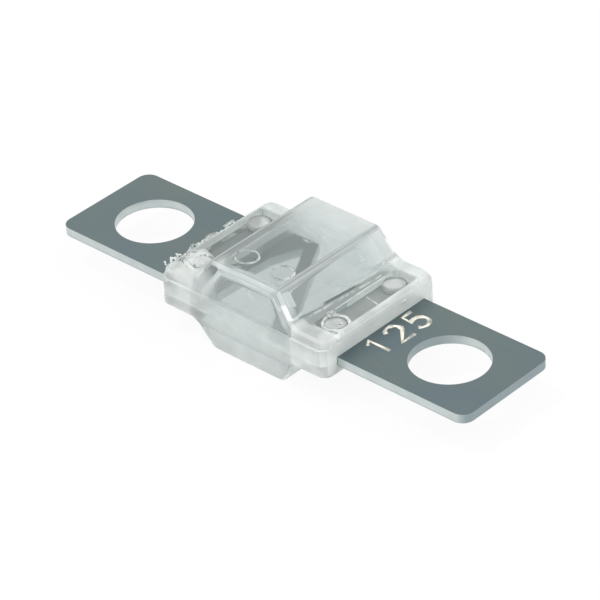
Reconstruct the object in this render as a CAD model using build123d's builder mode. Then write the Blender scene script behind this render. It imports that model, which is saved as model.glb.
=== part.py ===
from build123d import *
import os
from math import cos, radians, sin, tan

# Bolt-down fuse: a flat stamped fuse element with a bolt hole in each end tab, and a
# clear housing of two moulded half shells that are riveted together through it.
#
# Frame: the origin is the centre of the fuse element, half way through its
# thickness. +X runs along the element from one bolt hole to the other, +Z points
# out of the upper housing's flat top. The two shells meet in the plane z = 0.
# All lengths are in millimetres and all angles in degrees.

# ---- fuse element -------------------------------------------------------------
bolt_hole_spacing = 30.0
bolt_hole_diameter = 6.2
tab_end_distance = 5.5  # from a bolt hole's centre to the end of its tab
strip_width = 9.7
strip_thickness = 0.75
strip_corner_radius = 1.0

# ---- fusible link, left between two wedge windows in the strip ------------------
link_width = 1.0
link_angle = 60.5  # between the link and the strip's long axis
window_tip_inset = 0.9  # from the strip's closed edge to the wedge's sharp tip
window_tip_radius = 0.35
window_bend_inset = 3.65  # from the strip's closed edge to the bend in the outer side
window_bend_radius = 0.8
window_lean = 0.4  # how far the outer side leans in on its way to the bend
link_clearance = 0.5  # from a window's outer corner to the end of the cavity

# ---- housing, seen from above ---------------------------------------------------
side_rail_width = 1.45  # where the shells meet beside the strip
slot_clearance = 0.05  # between the strip's edge and the shells
housing_corner_radius = 0.9
ledge_width = 0.25  # step between the flange and the body above it
boss_foot_length = 10.2  # the boss where its slopes reach the shoulders
slope_angle = 54.0
slope_foot_radius = 1.4
side_draft = 6.0
wall = 0.9
cavity_end_setback = 0.35  # from the foot of the boss to the end of the cavity
cavity_corner_radius = 0.8

# ---- housing heights, each from the one before, out from the parting plane --------
upper_flange_height = 1.4
upper_shoulder_rise = 0.7
upper_boss_rise = 2.4
lower_flange_height = 0.8
lower_shoulder_rise = 0.5
lower_boss_rise = 2.2
crest_radius = 0.6  # at the ends of a boss's flat top
rim_radius = 0.45
ceiling_radius = 0.4  # inside, round the cavity's flat ceiling

# ---- rivet pins, moulded on the lower housing, and their pockets ------------------
pin_diameter = 1.6
pin_edge_distance = 1.55  # from a pin's axis to the strip's edge
pin_clearance = 0.05
pin_head_overhang = 0.2  # how far a head stands out over its hole's side
pin_head_height = 0.45
pin_head_dome = 0.25
pin_head_clearance = 0.05  # between a head and the long sides of its pocket
pocket_depth = 0.6
pocket_corner_radius = 0.4
pocket_foot_gap = 0.7  # between the foot of the boss and a pocket
pocket_end_rim = 0.45  # between a pocket and the end of the housing
pocket_side_rim = 1.5  # between a pocket and the side of the shoulder

# ---- round witness marks of the mould's ejectors on the upper housing -------------
ejector_mark_diameter = 2.0
ejector_mark_width = 0.2
ejector_mark_depth = 0.1
ejector_mark_inset = 2.2  # from the top face's near edge to a mark's centre
ejector_mark_spacing = 3.5

# ---- worked out from the sizes above -----------------------------------------------
strip_length = bolt_hole_spacing + 2 * tab_end_distance
half_thickness = strip_thickness / 2
slot_width = strip_width + 2 * slot_clearance
pin_hole_diameter = pin_diameter + 2 * pin_clearance
pin_head_diameter = pin_diameter + 2 * pin_head_overhang
pocket_width = pin_head_diameter + 2 * pin_head_clearance
shoulder_length = pocket_foot_gap + pocket_width + pocket_end_rim
housing_length = boss_foot_length + 2 * shoulder_length
housing_width = slot_width + 2 * side_rail_width
body_width = housing_width - 2 * ledge_width
cavity_length = boss_foot_length - 2 * cavity_end_setback
pocket_length = body_width - 2 * pocket_side_rim
pin_spacing_x = housing_length - 2 * pocket_end_rim - pocket_width
pin_spacing_y = strip_width - 2 * pin_edge_distance
upper_shoulder_height = upper_flange_height + upper_shoulder_rise
upper_boss_height = upper_shoulder_height + upper_boss_rise
lower_shoulder_height = lower_flange_height + lower_shoulder_rise
lower_boss_height = lower_shoulder_height + lower_boss_rise
pocket_floor = upper_shoulder_height - pocket_depth
slope = tan(radians(slope_angle))
slope_wall = wall / sin(radians(slope_angle))  # the slope's wall, measured level
# a face whose normal rises more than this is an upper face, not a drafted side
side_limit = (sin(radians(side_draft)) + cos(radians(slope_angle))) / 2


def boss_length(height, shoulder_height):
    """Length of a shell's boss at a height, between its two end slopes."""
    return boss_foot_length - 2 * (height - shoulder_height) / slope


def boss_width(height, flange_height):
    """Width of a shell's boss at a height, between its two drafted sides."""
    return body_width - 2 * (height - flange_height) * tan(radians(side_draft))


def moulded_shell(flange_height, shoulder_height, boss_height):
    """A half shell on the +Z side of the parting plane, open towards it."""
    boss_top_length = boss_length(boss_height, shoulder_height)
    ceiling = boss_height - wall
    ceiling_length = boss_length(ceiling, shoulder_height) - 2 * slope_wall
    ceiling_width = boss_width(ceiling, flange_height) - 2 * wall
    cavity_width = body_width - 2 * wall
    # the height where the inner slope meets the cavity's upright end
    spring_height = ceiling - (cavity_length - ceiling_length) / 2 * slope

    with BuildPart() as shell:
        # shoulders and raised boss: their side view, then their drafted plan
        with BuildSketch(Plane.XZ) as side_view:
            with BuildLine():
                Polyline(
                    (-housing_length / 2, flange_height),
                    (-housing_length / 2, shoulder_height),
                    (-boss_foot_length / 2, shoulder_height),
                    (-boss_top_length / 2, boss_height),
                    (boss_top_length / 2, boss_height),
                    (boss_foot_length / 2, shoulder_height),
                    (housing_length / 2, shoulder_height),
                    (housing_length / 2, flange_height),
                    close=True,
                )
            make_face()
            slope_feet = side_view.vertices().group_by(Axis.Y)[1].sort_by(Axis.X)[1:3]
            fillet(slope_feet, slope_foot_radius)
            fillet(side_view.vertices().group_by(Axis.Y)[-1], crest_radius)
        extrude(amount=housing_width / 2, both=True)
        with BuildSketch(Plane.XY.offset(flange_height)):
            RectangleRounded(housing_length, body_width, housing_corner_radius)
        extrude(amount=boss_height, taper=side_draft, mode=Mode.INTERSECT)

        # one round runs over the whole rim, between the sides and the upper faces
        sides = shell.faces().filter_by(lambda face: abs(face.normal_at().Z) < side_limit)
        uppers = shell.faces().filter_by(lambda face: face.normal_at().Z >= side_limit)
        fillet(sides.edges() & uppers.edges(), rim_radius)

        # flange that carries the parting plane
        with BuildSketch():
            RectangleRounded(housing_length, housing_width, housing_corner_radius)
        extrude(amount=flange_height)

        # cavity around the link: an upright part, then a part with sloping ends
        with BuildSketch():
            RectangleRounded(cavity_length, cavity_width, cavity_corner_radius)
        extrude(amount=spring_height, mode=Mode.SUBTRACT)
        with BuildSketch(Plane.XY.offset(spring_height)):
            RectangleRounded(cavity_length, cavity_width, cavity_corner_radius)
        with BuildSketch(Plane.XY.offset(ceiling)):
            RectangleRounded(ceiling_length, ceiling_width, cavity_corner_radius)
        loft(mode=Mode.SUBTRACT)
        levels = shell.faces().filter_by(Axis.Z)
        ceiling_face = min(levels, key=lambda face: abs(face.center().Z - ceiling))
        fillet(ceiling_face.edges(), ceiling_radius)

        # slot for half the strip's thickness, right through both ends
        with BuildSketch():
            Rectangle(2 * housing_length, slot_width)
        extrude(amount=half_thickness, mode=Mode.SUBTRACT)
    return shell.part


# ---- fuse element -------------------------------------------------------------------
# A window's inner side lies along the link and its outer side leans to meet it at
# the tip. The second window is the first one turned half round the Z axis.
link_slope = tan(radians(link_angle))
link_offset = link_width / 2 / cos(radians(link_angle))
mouth_y = -strip_width / 2
tip_y = strip_width / 2 - window_tip_inset
mouth_outer_x = -(cavity_length / 2 - link_clearance)
mouth_inner_x = -(mouth_y + link_offset) / link_slope
tip_x = -(tip_y + link_offset) / link_slope
bend_x = mouth_outer_x + window_lean
bend_y = strip_width / 2 - window_bend_inset

with BuildSketch() as link_window:
    with BuildLine():
        Polyline(
            (mouth_outer_x, mouth_y),
            (bend_x, bend_y),
            (tip_x, tip_y),
            (mouth_inner_x, mouth_y),
            close=True,
        )
    make_face()
    fillet(link_window.vertices().sort_by(Axis.Y)[-1], window_tip_radius)
    fillet(link_window.vertices().sort_by(Axis.X)[1], window_bend_radius)

with BuildPart() as fuse_element:
    with BuildSketch(Plane.XY.offset(-half_thickness)):
        RectangleRounded(strip_length, strip_width, strip_corner_radius)
        with GridLocations(bolt_hole_spacing, 0, 2, 1):
            Circle(bolt_hole_diameter / 2, mode=Mode.SUBTRACT)
        with GridLocations(pin_spacing_x, pin_spacing_y, 2, 2):
            Circle(pin_hole_diameter / 2, mode=Mode.SUBTRACT)
        with PolarLocations(0, 2):
            add(link_window.sketch, mode=Mode.SUBTRACT)
    extrude(amount=strip_thickness)

# ---- upper housing --------------------------------------------------------------------
# The pins come up through its shoulders into two pockets, where their heads sit.
upper_shell = moulded_shell(upper_flange_height, upper_shoulder_height, upper_boss_height)
top_half_length = boss_length(upper_boss_height, upper_shoulder_height) / 2
mark_x = top_half_length - (crest_radius + ejector_mark_diameter + ejector_mark_spacing) / 2
mark_y = ejector_mark_inset - boss_width(upper_boss_height, upper_flange_height) / 2

with BuildPart() as upper_housing:
    add(upper_shell)
    with BuildSketch(Plane.XY.offset(pocket_floor)):
        with GridLocations(pin_spacing_x, 0, 2, 1):
            RectangleRounded(pocket_width, pocket_length, pocket_corner_radius)
    extrude(amount=pocket_depth, mode=Mode.SUBTRACT)
    with BuildSketch():
        with GridLocations(pin_spacing_x, pin_spacing_y, 2, 2):
            Circle(pin_hole_diameter / 2)
    extrude(amount=upper_shoulder_height, mode=Mode.SUBTRACT)
    with BuildSketch(Plane.XY.offset(upper_boss_height - ejector_mark_depth)):
        with Locations((mark_x, mark_y)):
            with GridLocations(ejector_mark_spacing, 0, 2, 1):
                Circle(ejector_mark_diameter / 2)
                Circle(ejector_mark_diameter / 2 - ejector_mark_width, mode=Mode.SUBTRACT)
    extrude(amount=ejector_mark_depth, mode=Mode.SUBTRACT)

# ---- lower housing ----------------------------------------------------------------------
# The same shell turned over, with four rivet pins that pass through the strip.
lower_shell = moulded_shell(lower_flange_height, lower_shoulder_height, lower_boss_height)

with BuildPart() as lower_housing:
    mirror(lower_shell, about=Plane.XY)
    with BuildSketch(Plane.XY.offset(-half_thickness)):
        with GridLocations(pin_spacing_x, pin_spacing_y, 2, 2):
            Circle(pin_diameter / 2)
    extrude(amount=half_thickness + pocket_floor)
    with BuildSketch(Plane.XY.offset(pocket_floor)):
        with GridLocations(pin_spacing_x, pin_spacing_y, 2, 2):
            Circle(pin_head_diameter / 2)
    extrude(amount=pin_head_height)
    fillet(lower_housing.edges().group_by(Axis.Z)[-1], pin_head_dome)

# ---- one STEP file for each piece -----------------------------------------------------------
os.makedirs("parts", exist_ok=True)
fuse_element.part.label = "fuse_element"
upper_housing.part.label = "upper_housing"
lower_housing.part.label = "lower_housing"
export_step(fuse_element.part, "parts/fuse_element.step")
export_step(upper_housing.part, "parts/upper_housing.step")
export_step(lower_housing.part, "parts/lower_housing.step")
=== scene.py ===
import random
from math import cos, pi, radians, sin

import bmesh
import bpy
from mathutils import Matrix, Vector
from mathutils import noise as turbulence


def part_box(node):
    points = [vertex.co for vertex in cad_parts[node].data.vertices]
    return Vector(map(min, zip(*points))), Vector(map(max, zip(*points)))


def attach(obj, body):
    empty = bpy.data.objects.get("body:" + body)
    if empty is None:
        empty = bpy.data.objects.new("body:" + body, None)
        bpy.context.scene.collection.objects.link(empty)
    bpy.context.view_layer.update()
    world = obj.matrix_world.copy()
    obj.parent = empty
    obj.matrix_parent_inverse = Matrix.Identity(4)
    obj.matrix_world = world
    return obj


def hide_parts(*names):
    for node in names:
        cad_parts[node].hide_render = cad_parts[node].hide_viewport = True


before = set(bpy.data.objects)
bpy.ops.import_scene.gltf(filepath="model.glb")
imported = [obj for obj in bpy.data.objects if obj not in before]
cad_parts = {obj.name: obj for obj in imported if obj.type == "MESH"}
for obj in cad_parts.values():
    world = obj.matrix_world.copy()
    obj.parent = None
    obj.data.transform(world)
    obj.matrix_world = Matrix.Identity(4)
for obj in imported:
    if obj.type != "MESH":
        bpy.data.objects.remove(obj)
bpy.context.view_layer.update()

MM = 0.001

# the part's right is +x, its far side +y and its top +z

# ---- sizes and places read from the frame ---------------------------------------------------
_, strip_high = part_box("fuse_element")
_, upper_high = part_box("upper_housing")
lower_low, lower_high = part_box("lower_housing")
strip_top = strip_high[2]
housing_top = upper_high[2]
housing_end = upper_high[0]
floor_height = lower_low[2]
head_top = lower_high[2]

# ---- sizes and places repeated from the part's source ---------------------------------------
boss_foot = 5.1 * MM
shoulder_top = 2.1 * MM
flange_top = 1.4 * MM
pocket_floor = 1.5 * MM
pocket_end = 7.9 * MM
pocket_side = 4.6 * MM
pin_x, pin_y = 6.85 * MM, 3.3 * MM
mark_centres = ((-1.44 * MM, -3.6 * MM), (2.06 * MM, -3.6 * MM))
mark_radius = 0.9 * MM  # to the middle of the ring

# ---- detail that only the scene has ---------------------------------------------------------
weld_distance = 0.0005 * MM
same_height = 0.002 * MM  # heights as close as this count as equal
level_rise = 0.01 * MM  # an edge of the strip that rises less than this is level
parting_gap = 0.01 * MM  # from the parting plane to each shell
slot_sink = 0.005 * MM  # from the strip's top down to the face of the slot above it
rim_ease = 0.05 * MM  # how far the strip's edges are eased
stroke_radius = 0.20 * MM
stroke_lift = 0.06 * MM  # from the strip's top to the middle of a stroke's rod
number = "125"
number_height = 2.1 * MM
number_pitch = 2.15 * MM
right_number = (9.8 * MM, 0.25 * MM)
left_number = (-9.2 * MM, 1.2 * MM)
thread = 0.06 * MM  # radius of a thread of thickness 1
mark_height = housing_top - 0.082 * MM
floor_gap = 0.02 * MM

# where a region of a shell starts and where it is full
boss_region = (2.4 * MM, 2.6 * MM)  # up from the middle
crest_region = (3.4 * MM, 3.6 * MM)
rail_region = (5.0 * MM, 5.3 * MM)  # outwards on both sides
far_region = (1.0 * MM, 5.1 * MM)  # towards the far side
far_frost = (4.4 * MM, 4.7 * MM)
left_frost = (-2.6 * MM, -3.0 * MM)  # towards the left end
right_slope = (2.0 * MM, 3.0 * MM)  # towards the right end
right_half = (-1.0 * MM, 1.0 * MM)

# share of milk in each region: wall is everywhere, side the two long sides, slope the boss's
# right slope, pocket the shoulders, solid the thick plastic round the pockets, rail where the
# shells meet beside the strip, rim the boss's long rounded edges, whose milk is a painted
# highlight, crest the ends of its flat top, top the right part of that, edge the boss's far
# half, belly the boss below, end the housing's ends, left_wall the outer wall of the left
# pockets, and head the pin heads
UPPER_MILK = {
    "wall": 0.04, "side": 0.16, "slope": 0.14, "pocket": 0.18, "solid": 0.52, "rail": 0.48,
    "rim": 0.62, "crest": 0.80, "end": 0.72, "edge": 0.58, "left_wall": 0.72, "top": 0.24,
    "belly": 0.0, "head": 0.0,
}
LOWER_MILK = {
    "wall": 0.13, "side": 0.09, "slope": 0.0, "pocket": 0.0, "solid": 0.52, "rail": 0.46,
    "rim": 0.48, "crest": 0.28, "end": 0.62, "edge": 0.35, "left_wall": 0.0, "top": 0.0,
    "belly": 0.52, "head": 0.50,
}

# where the plastic is whitened, round the melted near left pin by heat and at the near right
# corner as a painted glow: centre, reach of the full white, reach of its fading, share
WHITENED_AND_GLOW = (((-5.3 * MM, -5.8 * MM, 2.4 * MM), 1.4 * MM, 3.6 * MM, 0.66),
            ((8.2 * MM, -4.9 * MM, 1.9 * MM), 0.8 * MM, 2.4 * MM, 0.62))

# ---- colours, most of them pairs that noise mixes -------------------------------------------
PLATING = (0.158, 0.200, 0.192), (0.143, 0.190, 0.208)
SHEARED_METAL = (0.50, 0.56, 0.56), (0.66, 0.72, 0.71)
# dull metal: the real burr side, and painted shade on the edges that face +x
DULL_AND_SHADED_METAL = (0.27, 0.33, 0.35)
# dark groove colour: dirt at random, and painted shade on the walls that face along the strip
GROOVE_DIRT_AND_SHADE = (0.34, 0.36, 0.33)
GROOVE_METAL = (0.55, 0.62, 0.60), (0.98, 0.92, 0.80)
CLEAR_TINTS = (0.885, 0.935, 0.928), (0.922, 0.958, 0.955)
WARM_TINT = (0.90, 0.955, 0.91)
MILK_TONES = (0.885, 0.938, 0.928), (0.96, 0.985, 0.98)
MELTED_TONES = (0.90, 0.94, 0.92), (0.98, 0.99, 0.98)
WARM_MILK = (0.94, 0.97, 0.915)
# painted shade on the shells' crests, slope foot and pin heads, and real specks in melted plastic
SHADE_AND_SPECK_TONE = (0.20, 0.23, 0.23)
PAPER = (0.87, 0.87, 0.87), (0.89, 0.89, 0.89)
WHITE = (1, 1, 1)

# ---- camera, fitted to the strip's outline and holes ----------------------------------------
camera_azimuth = 44.45
camera_elevation = 34.04
camera_roll = -3.55
camera_distance = 267.3 * MM
camera_lens = 213.95
sensor_width = 36
target_right = 0.17 * MM
target_up = -0.575 * MM


# ---- nodes ------------------------------------------------------------------------------------
class Tree:
    """The nodes of a material or world, with a short method for each kind that is used."""

    def __init__(self, owner):
        owner.use_nodes = True
        self.nodes = owner.node_tree.nodes
        self.links = owner.node_tree.links
        self.nodes.clear()

    def add(self, kind, inputs=None, **settings):
        """A new node, each input in inputs set to a value or linked to another node's output."""
        node = self.nodes.new(kind)
        for key, value in settings.items():
            setattr(node, key, value)
        for key, value in (inputs or {}).items():
            socket = node.inputs[key]
            if isinstance(value, bpy.types.NodeSocket):
                self.links.new(value, socket)
            elif isinstance(value, tuple) and len(socket.default_value) > len(value):
                socket.default_value = (*value, 1)
            else:
                socket.default_value = value
        return node

    def math(self, operation, *values):
        return self.add("ShaderNodeMath", dict(enumerate(values)), operation=operation).outputs[0]

    def times(self, first, second):
        return self.math("MULTIPLY", first, second)

    def either(self, first, second):
        return self.math("MAXIMUM", first, second)

    def plus(self, value, factor, base):
        """value times factor, plus base."""
        return self.math("MULTIPLY_ADD", value, factor, base)

    def ramp(self, value, low, high, to_low=0, to_high=1, smooth=False):
        """to_low where value is low, to_high where it is high, even or eased between."""
        inputs = {"Value": value, "From Min": low, "From Max": high,
                  "To Min": to_low, "To Max": to_high}
        kind = "SMOOTHSTEP" if smooth else "LINEAR"
        return self.add("ShaderNodeMapRange", inputs, interpolation_type=kind).outputs["Result"]

    def step(self, value, start, end):
        """0 before start, easing to 1 at end."""
        return self.ramp(value, start, end, smooth=True)

    def band(self, value, start, full, fade, end):
        """1 between full and fade, easing to 0 at start and end."""
        return self.times(self.step(value, start, full),
                          self.ramp(value, fade, end, 1, 0, smooth=True))

    def mix(self, factor, first, second):
        """A colour between first and second."""
        return self.add("ShaderNodeMix", {0: factor, 6: first, 7: second},
                        data_type="RGBA").outputs[2]

    def blend(self, factor, first, second):
        """A shader between first and second."""
        return self.add("ShaderNodeMixShader", {0: factor, 1: first, 2: second}).outputs[0]

    def noise(self, vector, scale, detail=3.0, roughness=0.5):
        inputs = {"Vector": vector, "Scale": scale, "Detail": detail, "Roughness": roughness}
        return self.add("ShaderNodeTexNoise", inputs).outputs["Fac"]

    def bump(self, height, distance):
        inputs = {"Height": height, "Strength": 0.12, "Distance": distance}
        return self.add("ShaderNodeBump", inputs).outputs[0]

    def coords(self):
        return self.add("ShaderNodeTexCoord").outputs["Object"]

    def normal(self):
        return self.add("ShaderNodeNewGeometry").outputs["Normal"]

    def parts(self, vector):
        split = self.add("ShaderNodeSeparateXYZ", {0: vector})
        return [split.outputs[axis] for axis in "XYZ"]

    def sizes(self, vector):
        """A vector's three parts without their signs."""
        return [self.math("ABSOLUTE", part) for part in self.parts(vector)]


# ---- materials --------------------------------------------------------------------------------
def plated_strip():
    """Smooth grey plating on the faces, bright sheared metal on the stamped edges."""
    material = bpy.data.materials.new("plated_strip")
    tree = Tree(material)
    coords = tree.coords()
    normal = tree.normal()
    x, _, z = tree.parts(coords)
    facing_x = tree.parts(normal)[0]
    edge = tree.ramp(tree.sizes(normal)[2], 0.35, 0.75, 1, 0)
    clouds = tree.noise(coords, 160, 4)
    face_tone = tree.mix(tree.ramp(clouds, 0.35, 0.65), *PLATING)
    edge_tone = tree.mix(tree.noise(coords, 900, 3), *SHEARED_METAL)
    # sheared metal is duller towards the burr side, and painted shade darkens the edges that face
    # +x, most of all on the right tab's end
    painted_edge_shade = tree.times(tree.ramp(facing_x, 0.2, 0.8), tree.ramp(x, -15 * MM, 15 * MM, 0.1, 0.9))
    burr_line = tree.plus(tree.noise(coords, 1400, 2), 0.25 * MM, z)
    burred = tree.ramp(burr_line, -0.18 * MM, -0.06 * MM, 0.35, 0)
    edge_tone = tree.mix(tree.either(painted_edge_shade, burred), edge_tone, DULL_AND_SHADED_METAL)
    grain = tree.noise(coords, 2600, 5, 0.6)
    shader = tree.add("ShaderNodeBsdfPrincipled", {
        "Base Color": tree.mix(edge, face_tone, edge_tone),
        "Metallic": 0.9,
        "Roughness": tree.ramp(grain, 0.3, 0.7, 0.30, 0.46),
        "Normal": tree.bump(grain, 0.01 * MM),
    })
    tree.add("ShaderNodeOutputMaterial", {"Surface": shader.outputs[0]})
    return material


def stamped_groove():
    """Bare metal in the stamped numbers, grey on the left tab and cream on the right."""
    material = bpy.data.materials.new("stamped_groove")
    tree = Tree(material)
    coords = tree.coords()
    # painted light: the walls that face along the strip are painted dull, the others bright as if
    # they caught the light
    lit = tree.ramp(tree.sizes(tree.normal())[0], 0.15, 0.5, 1, 0.5)
    wear_and_painted_light = tree.times(tree.ramp(tree.noise(coords, 900, 4, 0.6), 0.38, 0.52), lit)
    bright = tree.mix(tree.ramp(tree.parts(coords)[0], *right_half), *GROOVE_METAL)
    shader = tree.add("ShaderNodeBsdfPrincipled", {
        "Base Color": tree.mix(wear_and_painted_light, GROOVE_DIRT_AND_SHADE, bright),
        "Metallic": 0.1,
        "Roughness": tree.ramp(wear_and_painted_light, 0, 1, 0.5, 0.3),
    })
    tree.add("ShaderNodeOutputMaterial", {"Surface": shader.outputs[0]})
    return material


def plastic_surface(tree, coords, haze, frost, tones, back_share, shade, warm=0.0):
    """Clear polycarbonate with some milk in it.

    haze is the milk's share, frost adds roughness, tones are the milk's two colours,
    back_share is how much of its light goes back, shade darkens it, as painted shade on the shells
    and as real specks on melted plastic, and warm yellows it.
    """
    waves = tree.noise(coords, 420, 2)
    grain = tree.ramp(tree.noise(coords, 1500, 3), 0.3, 0.7, 0.03, 0.08)
    clear = tree.add("ShaderNodeBsdfPrincipled", {
        "Base Color": tree.mix(warm, tree.mix(waves, *CLEAR_TINTS), WARM_TINT),
        "Transmission Weight": 1.0,
        "IOR": 1.585,
        "Roughness": tree.math("ADD", grain, frost),
        "Normal": tree.bump(waves, 0.02 * MM),
    })
    # milk: light scattered inside the plastic, some back and some through
    clouds = tree.noise(coords, 500, 3)
    tone = tree.mix(warm, tree.mix(clouds, *tones), WARM_MILK)
    # painted shade on the shells, real specks on melted plastic
    tone = tree.mix(shade, tone, SHADE_AND_SPECK_TONE)
    back_milk = tree.add("ShaderNodeBsdfDiffuse", {"Color": tone})
    through_milk = tree.add("ShaderNodeBsdfTranslucent", {"Color": tone})
    milk = tree.blend(tree.math("SUBTRACT", 1.0, back_share), back_milk.outputs[0],
                      through_milk.outputs[0])
    streaks = tree.ramp(clouds, 0.3, 0.7, 0.92, 1.08)
    surface = tree.blend(tree.times(haze, streaks), clear.outputs[0], milk)
    tree.add("ShaderNodeOutputMaterial", {"Surface": surface})


class ShellTree(Tree):
    """A shell's nodes, with masks that are 1 in one region of it and 0 elsewhere."""

    def __init__(self, owner):
        super().__init__(owner)
        self.place = self.coords()
        self.facing = self.normal()
        self.x, self.y, self.z = self.parts(self.place)
        self.along, self.across, self.height = self.sizes(self.place)
        self.lean_x, self.lean_y, self.lean_z = self.sizes(self.facing)
        self.in_boss = self.step(self.height, *boss_region)
        self.in_shoulder = self.step(self.along, boss_foot - 0.35 * MM, boss_foot + 0.05 * MM)
        beside = self.step(self.across, pocket_side - 0.15 * MM, pocket_side + 0.25 * MM)
        beyond = self.step(self.along, pocket_end - 0.1 * MM, pocket_end + 0.1 * MM)
        self.in_solid = self.times(self.in_shoulder, self.either(beside, beyond))
        self.in_crest = self.times(self.step(self.height, *crest_region),
                                   self.band(self.lean_x, 0.03, 0.15, 0.76, 0.80))
        corner = self.times(self.step(self.lean_x, 0.40, 0.52), self.step(self.lean_y, 0.03, 0.12))
        self.in_corner = self.times(self.in_boss, corner)
        # x, skewed because the line at the foot of the right slope runs a little aslant
        self.foot = self.plus(self.y, -0.057, self.x)

    def regions(self):
        """Each region's mask, for the regions where the greatest share of milk counts."""
        times, step, ramp = self.times, self.step, self.ramp
        swirls = ramp(self.noise(self.place, 450, 2), 0.35, 0.65, 0.85, 1.12)
        upright = step(self.lean_x, 0.8, 0.95)
        rounded = self.band(self.lean_y, 0.15, 0.4, 0.85, 0.97)
        slanted = self.plus(self.y, 0.6, self.x)
        return {
            "solid": times(self.in_solid, swirls),
            "rail": times(step(self.across, *rail_region),
                          ramp(self.height, flange_top - 0.05 * MM, flange_top + 0.1 * MM, 1, 0)),
            # painted highlight: the boss's long rounded edges are made pale, more on the near side
            "rim": times(rounded, ramp(self.y, -4 * MM, 4 * MM, 1, 0.4)),
            "crest": self.in_crest,
            "end": times(upright, step(self.along, pocket_end, pocket_end + 0.2 * MM)),
            "edge": times(self.in_boss, ramp(self.y, *far_region)),
            "belly": ramp(self.z, -pocket_floor - 0.02 * MM, -pocket_floor - 0.08 * MM),
            "left_wall": times(upright, self.band(self.x, -pocket_end - 0.15 * MM,
                                                  -pocket_end - 0.08 * MM,
                                                  -pocket_end + 0.08 * MM,
                                                  -pocket_end + 0.15 * MM)),
            "top": times(step(self.height, housing_top - 0.1 * MM, housing_top - 0.02 * MM),
                         step(slanted, 1.6 * MM, 3.0 * MM)),
        }

    def milkiness(self, milk):
        """The milk of all regions but the pin heads."""
        in_side = self.step(self.lean_y, 0.8, 0.95)
        level = self.ramp(self.lean_z, 0.5, 0.9, 0, 0.8)
        stronger = self.plus(level, self.ramp(self.x, *right_half), 1.0)
        in_pocket = self.times(self.in_shoulder, stronger)
        in_slope = self.times(self.in_boss, self.times(self.step(self.lean_x, 0.70, 0.78),
                                                       self.step(self.x, *right_slope)))
        haze = self.plus(in_side, milk["side"], milk["wall"])
        haze = self.plus(in_pocket, milk["pocket"], haze)
        haze = self.plus(in_slope, milk["slope"], haze)
        for region, mask in self.regions().items():
            haze = self.either(haze, self.times(mask, milk[region]))
        # painted highlight: the boss's slanted corners are made milky white, most on the right
        corner_highlight_share = self.ramp(self.x, *right_half, 0.55, 0.95)
        return self.either(haze, self.times(self.in_corner, corner_highlight_share))

    def whitening_and_glow(self, haze):
        """More milk round the melted near left pin, whitened by heat, and a painted glow at the
        near right corner.
        """
        for centre, full, end, share in WHITENED_AND_GLOW:
            away = self.add("ShaderNodeVectorMath", {0: self.place, 1: centre},
                            operation="DISTANCE").outputs["Value"]
            haze = self.either(haze, self.ramp(away, full, end, share, 0, smooth=True))
        return haze

    def frosting(self):
        """Roughness of the inner walls of the far side and the left slope."""
        in_far = self.step(self.y, *far_frost)
        in_left = self.times(self.ramp(self.x, *left_frost), self.ramp(self.lean_x, 0.5, 0.7))
        steep = self.ramp(self.lean_z, 0.9, 0.95, 1, 0)
        frosted = self.times(self.either(in_far, in_left), steep)
        return self.plus(frosted, 0.45, self.times(self.in_solid, 0.10))

    def crest_shade(self):
        """The share of painted shade on the crests, greatest along a dark line."""
        line = self.band(self.lean_x, 0.40, 0.45, 0.50, 0.55)
        return self.times(self.in_crest, self.plus(line, 0.35, 0.45))

    def pin_heads(self, share):
        """Milk and painted shade of the pin heads, more of both on their far sides."""
        in_head = self.step(self.z, pocket_floor + 0.02 * MM, pocket_floor + 0.08 * MM)
        turned_away = self.add("ShaderNodeVectorMath", {0: self.facing, 1: (0.35, 0.94, 0)},
                               operation="DOT_PRODUCT").outputs["Value"]
        far_side = self.times(in_head, self.step(turned_away, 0.2, 0.4))
        haze = self.either(self.times(far_side, 0.7), self.times(in_head, share))
        # painted shade: the heads darker overall and darkest on their far sides
        shade = self.either(self.times(far_side, 0.9), self.times(in_head, 0.30))
        return haze, shade

    def foot_shade_line(self):
        """A line of painted shade along the foot of the boss's right slope."""
        line = self.band(self.foot, boss_foot - 0.08 * MM, boss_foot - 0.02 * MM,
                         boss_foot + 0.10 * MM, boss_foot + 0.16 * MM)
        above = self.step(self.height, shoulder_top, shoulder_top + 0.05 * MM)
        reach = self.band(self.y, -2.9 * MM, -2.2 * MM, 0.6 * MM, 1.5 * MM)
        return self.times(self.times(line, above), reach)

    def foot_glow(self):
        """Patchy streaks of painted light beside that line."""
        line = self.band(self.foot, boss_foot + 0.16 * MM, boss_foot + 0.24 * MM,
                         boss_foot + 0.36 * MM, boss_foot + 0.50 * MM)
        above = self.step(self.height, shoulder_top - 0.05 * MM, shoulder_top)
        reach = self.band(self.y, -4.6 * MM, -4.0 * MM, 3.2 * MM, 4.4 * MM)
        patchy = self.ramp(self.noise(self.place, 1600, 3), 0.38, 0.58, 0.32, 0.66)
        return self.times(self.times(self.times(line, above), reach), patchy)


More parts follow.
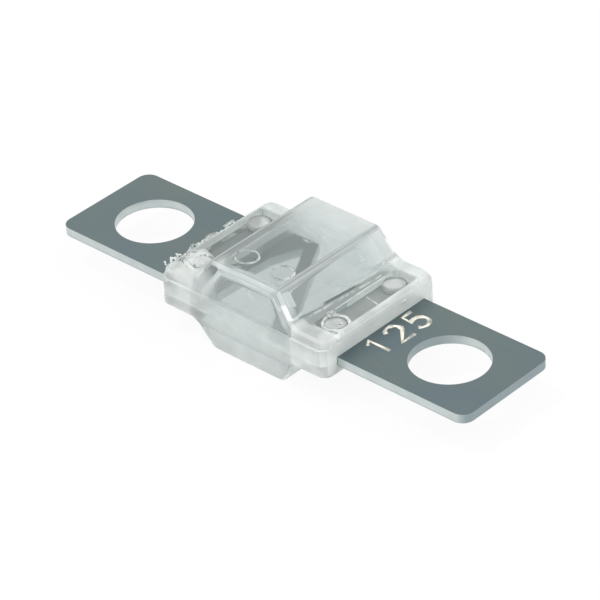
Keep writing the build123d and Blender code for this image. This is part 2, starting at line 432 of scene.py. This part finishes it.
def clear_plastic(name, milk):
    """Clear where the housing is thin, milky where it is thick, pale along its rims and corners as
    painted highlight, with painted shade on its crests.
    """
    material = bpy.data.materials.new(name)
    tree = ShellTree(material)
    haze = tree.whitening_and_glow(tree.milkiness(milk))
    shade = tree.crest_shade()
    if milk["head"]:
        head_haze, head_shade = tree.pin_heads(milk["head"])
        haze = tree.either(haze, head_haze)
        shade = tree.either(shade, head_shade)
    foot_shade_line = tree.foot_shade_line()
    haze = tree.either(haze, tree.times(foot_shade_line, 0.95))
    haze = tree.either(haze, tree.foot_glow())
    shade = tree.either(shade, foot_shade_line)
    # the corners' painted highlight also sends more of its light back
    back_share = tree.ramp(tree.either(tree.in_solid, tree.in_corner), 0, 1, 0.55, 0.85)
    warm = tree.times(tree.in_shoulder, 0.3)
    plastic_surface(tree, tree.place, haze, tree.frosting(), MILK_TONES, back_share, shade, warm)
    return material


def melted_plastic_and_glints():
    """The same plastic, whitened and specked where it was melted, torn or squeezed out, and white
    in the lumps that are painted glints.
    """
    material = bpy.data.materials.new("melted_plastic_and_glints")
    tree = Tree(material)
    coords = tree.coords()
    haze = tree.ramp(tree.noise(coords, 900, 3), 0.35, 0.65, 0.55, 0.92)
    frost = tree.ramp(tree.noise(coords, 2500, 2), 0.3, 0.7, 0.0, 0.1)
    specks = tree.ramp(tree.noise(coords, 1900, 2), 0.60, 0.66, 0, 0.6)
    plastic_surface(tree, coords, haze, frost, MELTED_TONES, 0.7, specks)
    return material


def white_floor():
    """Paper that takes the part's shadow, and looks white to the camera and in the plastic."""
    material = bpy.data.materials.new("white_floor")
    tree = Tree(material)
    clouds = tree.noise(tree.coords(), 3, 2)
    paper = tree.add("ShaderNodeBsdfDiffuse", {"Color": tree.mix(clouds, *PAPER)})
    white = tree.add("ShaderNodeEmission", {"Strength": 1.0})
    rays = tree.add("ShaderNodeLightPath").outputs
    share = tree.either(tree.either(rays["Is Glossy Ray"], rays["Is Transmission Ray"]),
                        tree.times(rays["Is Camera Ray"], 0.93))
    surface = tree.blend(share, paper.outputs[0], white.outputs[0])
    tree.add("ShaderNodeOutputMaterial", {"Surface": surface})
    return material


# ---- meshes -----------------------------------------------------------------------------------
def new_piece(name, mesh, material):
    mesh.materials.clear()
    mesh.materials.append(material)
    piece = bpy.data.objects.new(name, mesh)
    bpy.context.scene.collection.objects.link(piece)
    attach(piece, "root")
    return piece


def open_cad_mesh(node_name):
    """A copy of a CAD node's mesh, and the same opened for editing with its seams welded."""
    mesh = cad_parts[node_name].data.copy()
    form = bmesh.new()
    form.from_mesh(mesh)
    bmesh.ops.remove_doubles(form, verts=form.verts, dist=weld_distance)
    return mesh, form


def evaluated_mesh(holder):
    """The mesh of an object with its modifiers or bevel applied."""
    bpy.context.view_layer.update()
    graph = bpy.context.evaluated_depsgraph_get()
    return bpy.data.meshes.new_from_object(holder.evaluated_get(graph))


def lay(height, points):
    """A run from points in mm, each (x, y, lift above height, thickness)."""
    return [(x * MM, y * MM, height + lift * MM, thickness) for x, y, lift, thickness in points]


def tube(name, runs, radius, resolution=3):
    """A mesh of round rods along runs of (x, y, z, thickness) points."""
    curve = bpy.data.curves.new(name, "CURVE")
    curve.dimensions = "3D"
    curve.bevel_depth = radius
    curve.bevel_resolution = resolution
    curve.use_fill_caps = True
    for run in runs:
        spline = curve.splines.new("POLY")
        spline.points.add(len(run) - 1)
        for point, (x, y, z, thickness) in zip(spline.points, run):
            point.co = (x, y, z, 1)
            point.radius = thickness
    holder = bpy.data.objects.new(name, curve)
    bpy.context.scene.collection.objects.link(holder)
    mesh = evaluated_mesh(holder)
    bpy.data.objects.remove(holder)
    for polygon in mesh.polygons:
        polygon.use_smooth = True
    return mesh


# ---- shells: the CAD's own, parted by a hair of air and sunk a hair into the strip ----------
def clear_shell(node_name, piece_name, material, side):
    """A CAD shell; its slot's face lies inside the strip, so that it doesn't mirror the lamps."""
    mesh, form = open_cad_mesh(node_name)
    for vertex in form.verts:
        height = vertex.co.z * side
        if abs(height) < same_height:
            vertex.co.z = side * parting_gap
        elif abs(height - strip_top) < same_height:
            vertex.co.z = side * (strip_top - slot_sink)
    form.to_mesh(mesh)
    form.free()
    piece = new_piece(piece_name, mesh, material)
    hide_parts(node_name)


clear_shell("upper_housing", "upper_shell", clear_plastic("clear_upper", UPPER_MILK),
            1)
clear_shell("lower_housing", "lower_shell", clear_plastic("clear_lower", LOWER_MILK),
            -1)


# ---- strip: the CAD's own, its edges eased and plain numbers stamped in the tabs ------------
def arc(centre, radii, start, end, steps):
    turn = [radians(start + (end - start) * i / steps) for i in range(steps + 1)]
    return [(centre[0] + radii[0] * cos(t), centre[1] + radii[1] * sin(t)) for t in turn]


# each digit's strokes in a box of this width and 1 high
digit_width = 0.7
STROKES = {
    "1": [[(0.12, 0.80), (0.38, 1.0), (0.38, 0.0)]],
    "2": [arc((0.34, 0.70), (0.32, 0.30), 165, -35, 8) + [(0.0, 0.0), (0.68, 0.0)]],
    "5": [[(0.62, 1.0), (0.12, 1.0), (0.08, 0.56)] + arc((0.31, 0.32), (0.34, 0.32), 120, -150, 9)],
}


def number_cutter(name, middle, material, chance):
    """Rods along the number's strokes; it reads along +Y, its tops towards -X."""
    first = middle[1] - number_pitch * (len(number) - 1) / 2
    runs = []
    for place, digit in enumerate(number):
        for stroke in STROKES[digit]:
            run = []
            for across, tall in stroke:
                y = first + number_pitch * place + (across - digit_width / 2) * number_height
                x = middle[0] - (tall - 0.5) * number_height
                run.append((x, y, strip_top + stroke_lift, chance.uniform(0.65, 1.3)))
            runs.append(run)
    mesh = tube(name, runs, stroke_radius)
    mesh.materials.clear()
    mesh.materials.append(material)
    cutter = bpy.data.objects.new(name, mesh)
    bpy.context.scene.collection.objects.link(cutter)
    return cutter


def stamped_strip():
    mesh, form = open_cad_mesh("fuse_element")
    bmesh.ops.dissolve_limit(form, angle_limit=radians(0.5), verts=form.verts, edges=form.edges)
    rims = [edge for edge in form.edges if edge.calc_face_angle(0) > radians(60)
            and abs(edge.verts[0].co.z - edge.verts[1].co.z) < level_rise]
    bmesh.ops.bevel(form, geom=rims, offset=rim_ease, segments=2, profile=0.5,
                    affect="EDGES", clamp_overlap=True)
    form.to_mesh(mesh)
    form.free()
    piece = new_piece("strip", mesh, plated_strip())
    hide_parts("fuse_element")
    groove = stamped_groove()
    chance = random.Random(3)
    cutters = [number_cutter("right_number", right_number, groove, chance),
               number_cutter("left_number", left_number, groove, chance)]
    for cutter in cutters:
        cut = piece.modifiers.new(cutter.name, "BOOLEAN")
        cut.operation = "DIFFERENCE"
        cut.solver = "EXACT"
        cut.use_self = True
        cut.material_mode = "TRANSFER"
        cut.object = cutter
    cut_mesh = evaluated_mesh(piece)
    piece.modifiers.clear()
    piece.data = cut_mesh
    for cutter in cutters:
        bpy.data.objects.remove(cutter)


stamped_strip()


# ---- melted and moulded details, and white lumps that are painted glints ----------------------
def ragged_ring(centre, radius, height, turns, thickness, wobble, chance):
    """A ring from one angle to another, its radius, height and thickness wandering."""
    start, end = turns
    thin, thick = thickness
    steps = 36
    run = []
    for i in range(steps + 1):
        turn = radians(start + (end - start) * i / steps)
        reach = radius * (1 + chance.uniform(-wobble, wobble))
        run.append((centre[0] + reach * cos(turn), centre[1] + reach * sin(turn),
                    height + chance.uniform(-wobble, wobble) * radius * 0.5,
                    chance.uniform(thin, thick)))
    run[0] = (*run[0][:3], thin * 0.4)
    run[-1] = (*run[-1][:3], thin * 0.4)
    return run


def curl(start, length, height, thickness, flat, chance):
    """A short wandering thread that lifts by up to flat times its thickness."""
    x, y = start
    turn = chance.uniform(0, 2 * pi)
    steps = 5
    run = []
    for _ in range(steps + 1):
        run.append((x, y, height + chance.uniform(0, flat) * thickness,
                    chance.uniform(0.6, 1.2) * thickness / thread))
        x += length / steps * cos(turn)
        y += length / steps * sin(turn)
        turn += chance.uniform(-0.9, 0.9)
    return run


def melted_blob(centre, radius, base, top):
    """A lumpy dome that spread over its pocket's edge."""
    rings, spokes = 14, 48
    raggedness, lumpiness, weld = 0.16, 0.16 * MM, 0.01 * MM
    form = bmesh.new()
    rows = []
    for ring in range(rings + 1):
        share = ring / rings
        rise = (1 - share ** 3) ** 0.5
        row = []
        for spoke in range(spokes):
            turn = 2 * pi * spoke / spokes
            rim = Vector((cos(turn), sin(turn), 0.0))
            out = share * (1 + raggedness * turbulence.noise(rim * 1.7 + Vector((3, 1, 5))))
            x = centre[0] + radius[0] * out * cos(turn)
            y = centre[1] + radius[1] * out * sin(turn)
            lump = turbulence.noise(Vector((x, y, 0)) / MM * 1.9)
            z = base + (top - base) * rise + lumpiness * lump * rise
            row.append(form.verts.new((x, y, z)))
        rows.append(row)
    for inner, outer in zip(rows, rows[1:]):
        for spoke in range(spokes):
            after = (spoke + 1) % spokes
            form.faces.new((inner[spoke], outer[spoke], outer[after], inner[after]))
    form.faces.new(list(reversed(rows[-1])))
    bmesh.ops.remove_doubles(form, verts=form.verts, dist=weld)
    bmesh.ops.recalc_face_normals(form, faces=form.faces)
    for face in form.faces:
        face.smooth = True
    mesh = bpy.data.meshes.new("melted_blob")
    form.to_mesh(mesh)
    form.free()
    return mesh


def add_mark_rims(melted_and_glints, chance):
    """The ragged edges of the two ring marks, and bits of white on the boss's top: two runs that
    are painted glints, and curls.
    """
    first, second = mark_centres
    runs = [
        ragged_ring(first, mark_radius, mark_height, (-150, 170), (0.5, 1.2), 0.02, chance),
        ragged_ring(second, mark_radius, mark_height, (-60, 110), (0.6, 1.2), 0.02, chance),
        ragged_ring(second, mark_radius, mark_height, (195, 225), (0.5, 1.0), 0.02, chance),
        # painted highlights: these two white runs stand in for glints
        lay(mark_height, [(2.0, -4.72, 0, 0.4), (2.3, -4.76, 0, 1.3), (2.7, -4.8, 0, 1.0)]),
        lay(mark_height, [(0.2, 0.7, 0, 0.6), (0.5, 0.75, -0.05, 2.1), (0.8, 0.6, -0.01, 1.4),
                          (1.0, 0.9, 0, 0.6)]),
    ]
    for x, y in ((-0.9, -4.9), (-1.5, -4.7), (-2.1, -4.3), (0.9, 1.3), (1.5, 1.6)):
        runs.append(curl((x * MM, y * MM), 0.6 * MM, mark_height, thread * 0.7, 0.5, chance))
    new_piece("mark_rims_and_glints", tube("mark_rims_and_glints", runs, thread), melted_and_glints)


def add_pin_collar(melted_and_glints, chance):
    """The raised rim round the near right pin, a lump by it, and white lumps near, on and past it
    that are painted glints.
    """
    rim_middle = (pin_x + 0.1 * MM, -pin_y)
    lump_middle = (pin_x - 0.75 * MM, -pin_y + 0.45 * MM)
    runs = [
        ragged_ring(rim_middle, 1.0 * MM, head_top - 0.02 * MM, (-15, 345), (1.5, 2.5), 0.03,
                    chance),
        ragged_ring(lump_middle, 0.22 * MM, shoulder_top, (60, 300), (2.0, 3.2), 0.15, chance),
        # painted highlights: white lumps standing in for glints by the near right corner, on the
        # pin's head and on the housing's end
        lay(0, [(8.02, -4.85, 1.88, 2.0), (8.12, -4.65, 1.86, 5.8), (8.14, -4.4, 1.86, 6.0),
                (8.08, -4.15, 1.88, 2.0)]),
        lay(head_top, [(7.10, -3.35, 0, 0.8), (7.27, -3.18, 0, 2.6), (7.35, -2.98, -0.04, 0.8)]),
        lay(0, [(8.36, 2.35, 1.27, 1.0), (8.37, 2.55, 1.28, 2.2), (8.36, 2.8, 1.30, 1.0)]),
    ]
    new_piece("pin_collar_and_glints", tube("pin_collar_and_glints", runs, thread), melted_and_glints)


def add_melted_pin(melted_and_glints):
    """The near left pin, spread over its pocket, and the spill beside it."""
    blob = melted_blob((-pin_x - 0.1 * MM, -pin_y), (1.15 * MM, 1.25 * MM), pocket_floor,
                       head_top + 0.42 * MM)
    new_piece("melted_pin", blob, melted_and_glints)
    spill = lay(shoulder_top, [(-7.4, -4.4, 0, 1.5), (-6.9, -4.65, 0, 3.0), (-6.4, -4.75, 0, 2.6),
                               (-6.0, -4.8, 0, 1.0)])
    new_piece("pin_spill", tube("pin_spill", [spill], thread), melted_and_glints)


def add_end_flash(melted_and_glints, chance):
    """Crumbs on the rim at the left end, from the near corner along, getting smaller."""
    crumbs = 30
    runs = []
    for crumb in range(crumbs):
        share = crumb / (crumbs - 1)
        start = (-housing_end + chance.uniform(0.05, 0.3) * MM, (-5.4 + 7.6 * share) * MM)
        size = 1.4 - 0.7 * share
        runs.append(curl(start, chance.uniform(0.12, 0.35) * size * MM,
                         shoulder_top - chance.uniform(0.0, 0.35) * MM,
                         thread * chance.uniform(0.9, 1.6) * size, 3, chance))
    new_piece("end_flash", tube("end_flash", runs, thread, 1), melted_and_glints)


def add_light_lines(melted_and_glints):
    """Lines across the right pocket and along its inner rim, and a streak on the near side."""
    pocket_seam = lay(pocket_floor, [(6.0, 1.1, 0, 0.6), (6.9, 0.95, 0, 1.1), (7.85, 0.75, 0, 0.9)])
    inner_rim = lay(shoulder_top, [(5.85, -2.2, -0.02, 0.5), (5.82, 0.5, -0.02, 0.9),
                                   (5.85, 3.4, -0.02, 0.6)])
    new_piece("pocket_line", tube("pocket_line", [pocket_seam, inner_rim], thread), melted_and_glints)
    streak = lay(0, [(0.50, -5.86, 3.52, 0.8), (0.85, -5.89, 3.25, 2.0), (1.20, -5.92, 3.0, 0.8)])
    new_piece("side_streak", tube("side_streak", [streak], thread), melted_and_glints)


def add_details():
    melted_and_glints = melted_plastic_and_glints()
    chance = random.Random(11)
    add_mark_rims(melted_and_glints, chance)
    add_pin_collar(melted_and_glints, chance)
    add_melted_pin(melted_and_glints)
    add_end_flash(melted_and_glints, chance)
    add_light_lines(melted_and_glints)


add_details()


# ---- floor, world and lamps -------------------------------------------------------------------
bpy.ops.mesh.primitive_plane_add(size=3, location=(0, 0, floor_height - floor_gap))
floor = bpy.context.object
floor.name = "floor"
floor.data.materials.append(white_floor())


def light_room():
    """An even grey room for diffuse light, white to the camera and in what mirrors or bends."""
    world = bpy.data.worlds.new("studio")
    bpy.context.scene.world = world
    tree = Tree(world)
    room = tree.add("ShaderNodeBackground", {"Color": WHITE, "Strength": 0.74})
    seen = tree.add("ShaderNodeBackground", {"Color": WHITE, "Strength": 1.0})
    rays = tree.add("ShaderNodeLightPath").outputs
    seen_by = tree.either(tree.either(rays["Is Camera Ray"], rays["Is Glossy Ray"]),
                          rays["Is Transmission Ray"])
    light = tree.blend(seen_by, room.outputs[0], seen.outputs[0])
    tree.add("ShaderNodeOutputWorld", {0: light})


def softbox(name, azimuth, elevation, distance, size, power):
    light = bpy.data.lights.new(name, "AREA")
    light.shape = "DISK"
    light.size = size
    light.energy = power
    lamp = bpy.data.objects.new(name, light)
    bpy.context.scene.collection.objects.link(lamp)
    around, up = radians(azimuth), radians(elevation)
    place = Vector((sin(around) * cos(up), -cos(around) * cos(up), sin(up))) * distance
    lamp.location = place
    lamp.rotation_euler = place.to_track_quat("Z", "Y").to_euler()


light_room()
softbox("key_light", camera_azimuth - 60, elevation=68, distance=0.5, size=0.12, power=0.80)
softbox("fill_light", camera_azimuth + 70, elevation=45, distance=0.6, size=0.20, power=0.80)
softbox("front_light", camera_azimuth - 12, elevation=44, distance=0.5, size=0.05, power=0.36)


# ---- camera placed round the part -------------------------------------------------------------
def add_camera():
    azimuth, elevation, roll = (radians(a) for a in (camera_azimuth, camera_elevation,
                                                     camera_roll))
    back = Vector((sin(azimuth) * cos(elevation), -cos(azimuth) * cos(elevation),
                   sin(elevation)))
    level_right = Vector((0, 0, 1)).cross(back).normalized()
    level_up = back.cross(level_right)
    right = level_right * cos(roll) + level_up * sin(roll)
    up = level_up * cos(roll) - level_right * sin(roll)
    data = bpy.data.cameras.new("camera")
    data.lens = camera_lens
    data.sensor_width = sensor_width
    data.clip_start = 0.01
    camera = bpy.data.objects.new("camera", data)
    bpy.context.scene.collection.objects.link(camera)
    place = right * target_right + up * target_up + back * camera_distance
    turn = Matrix((right, up, back)).transposed().to_4x4()
    camera.matrix_world = Matrix.Translation(place) @ turn
    bpy.context.scene.camera = camera


add_camera()
bpy.context.scene.view_settings.view_transform = "Standard"
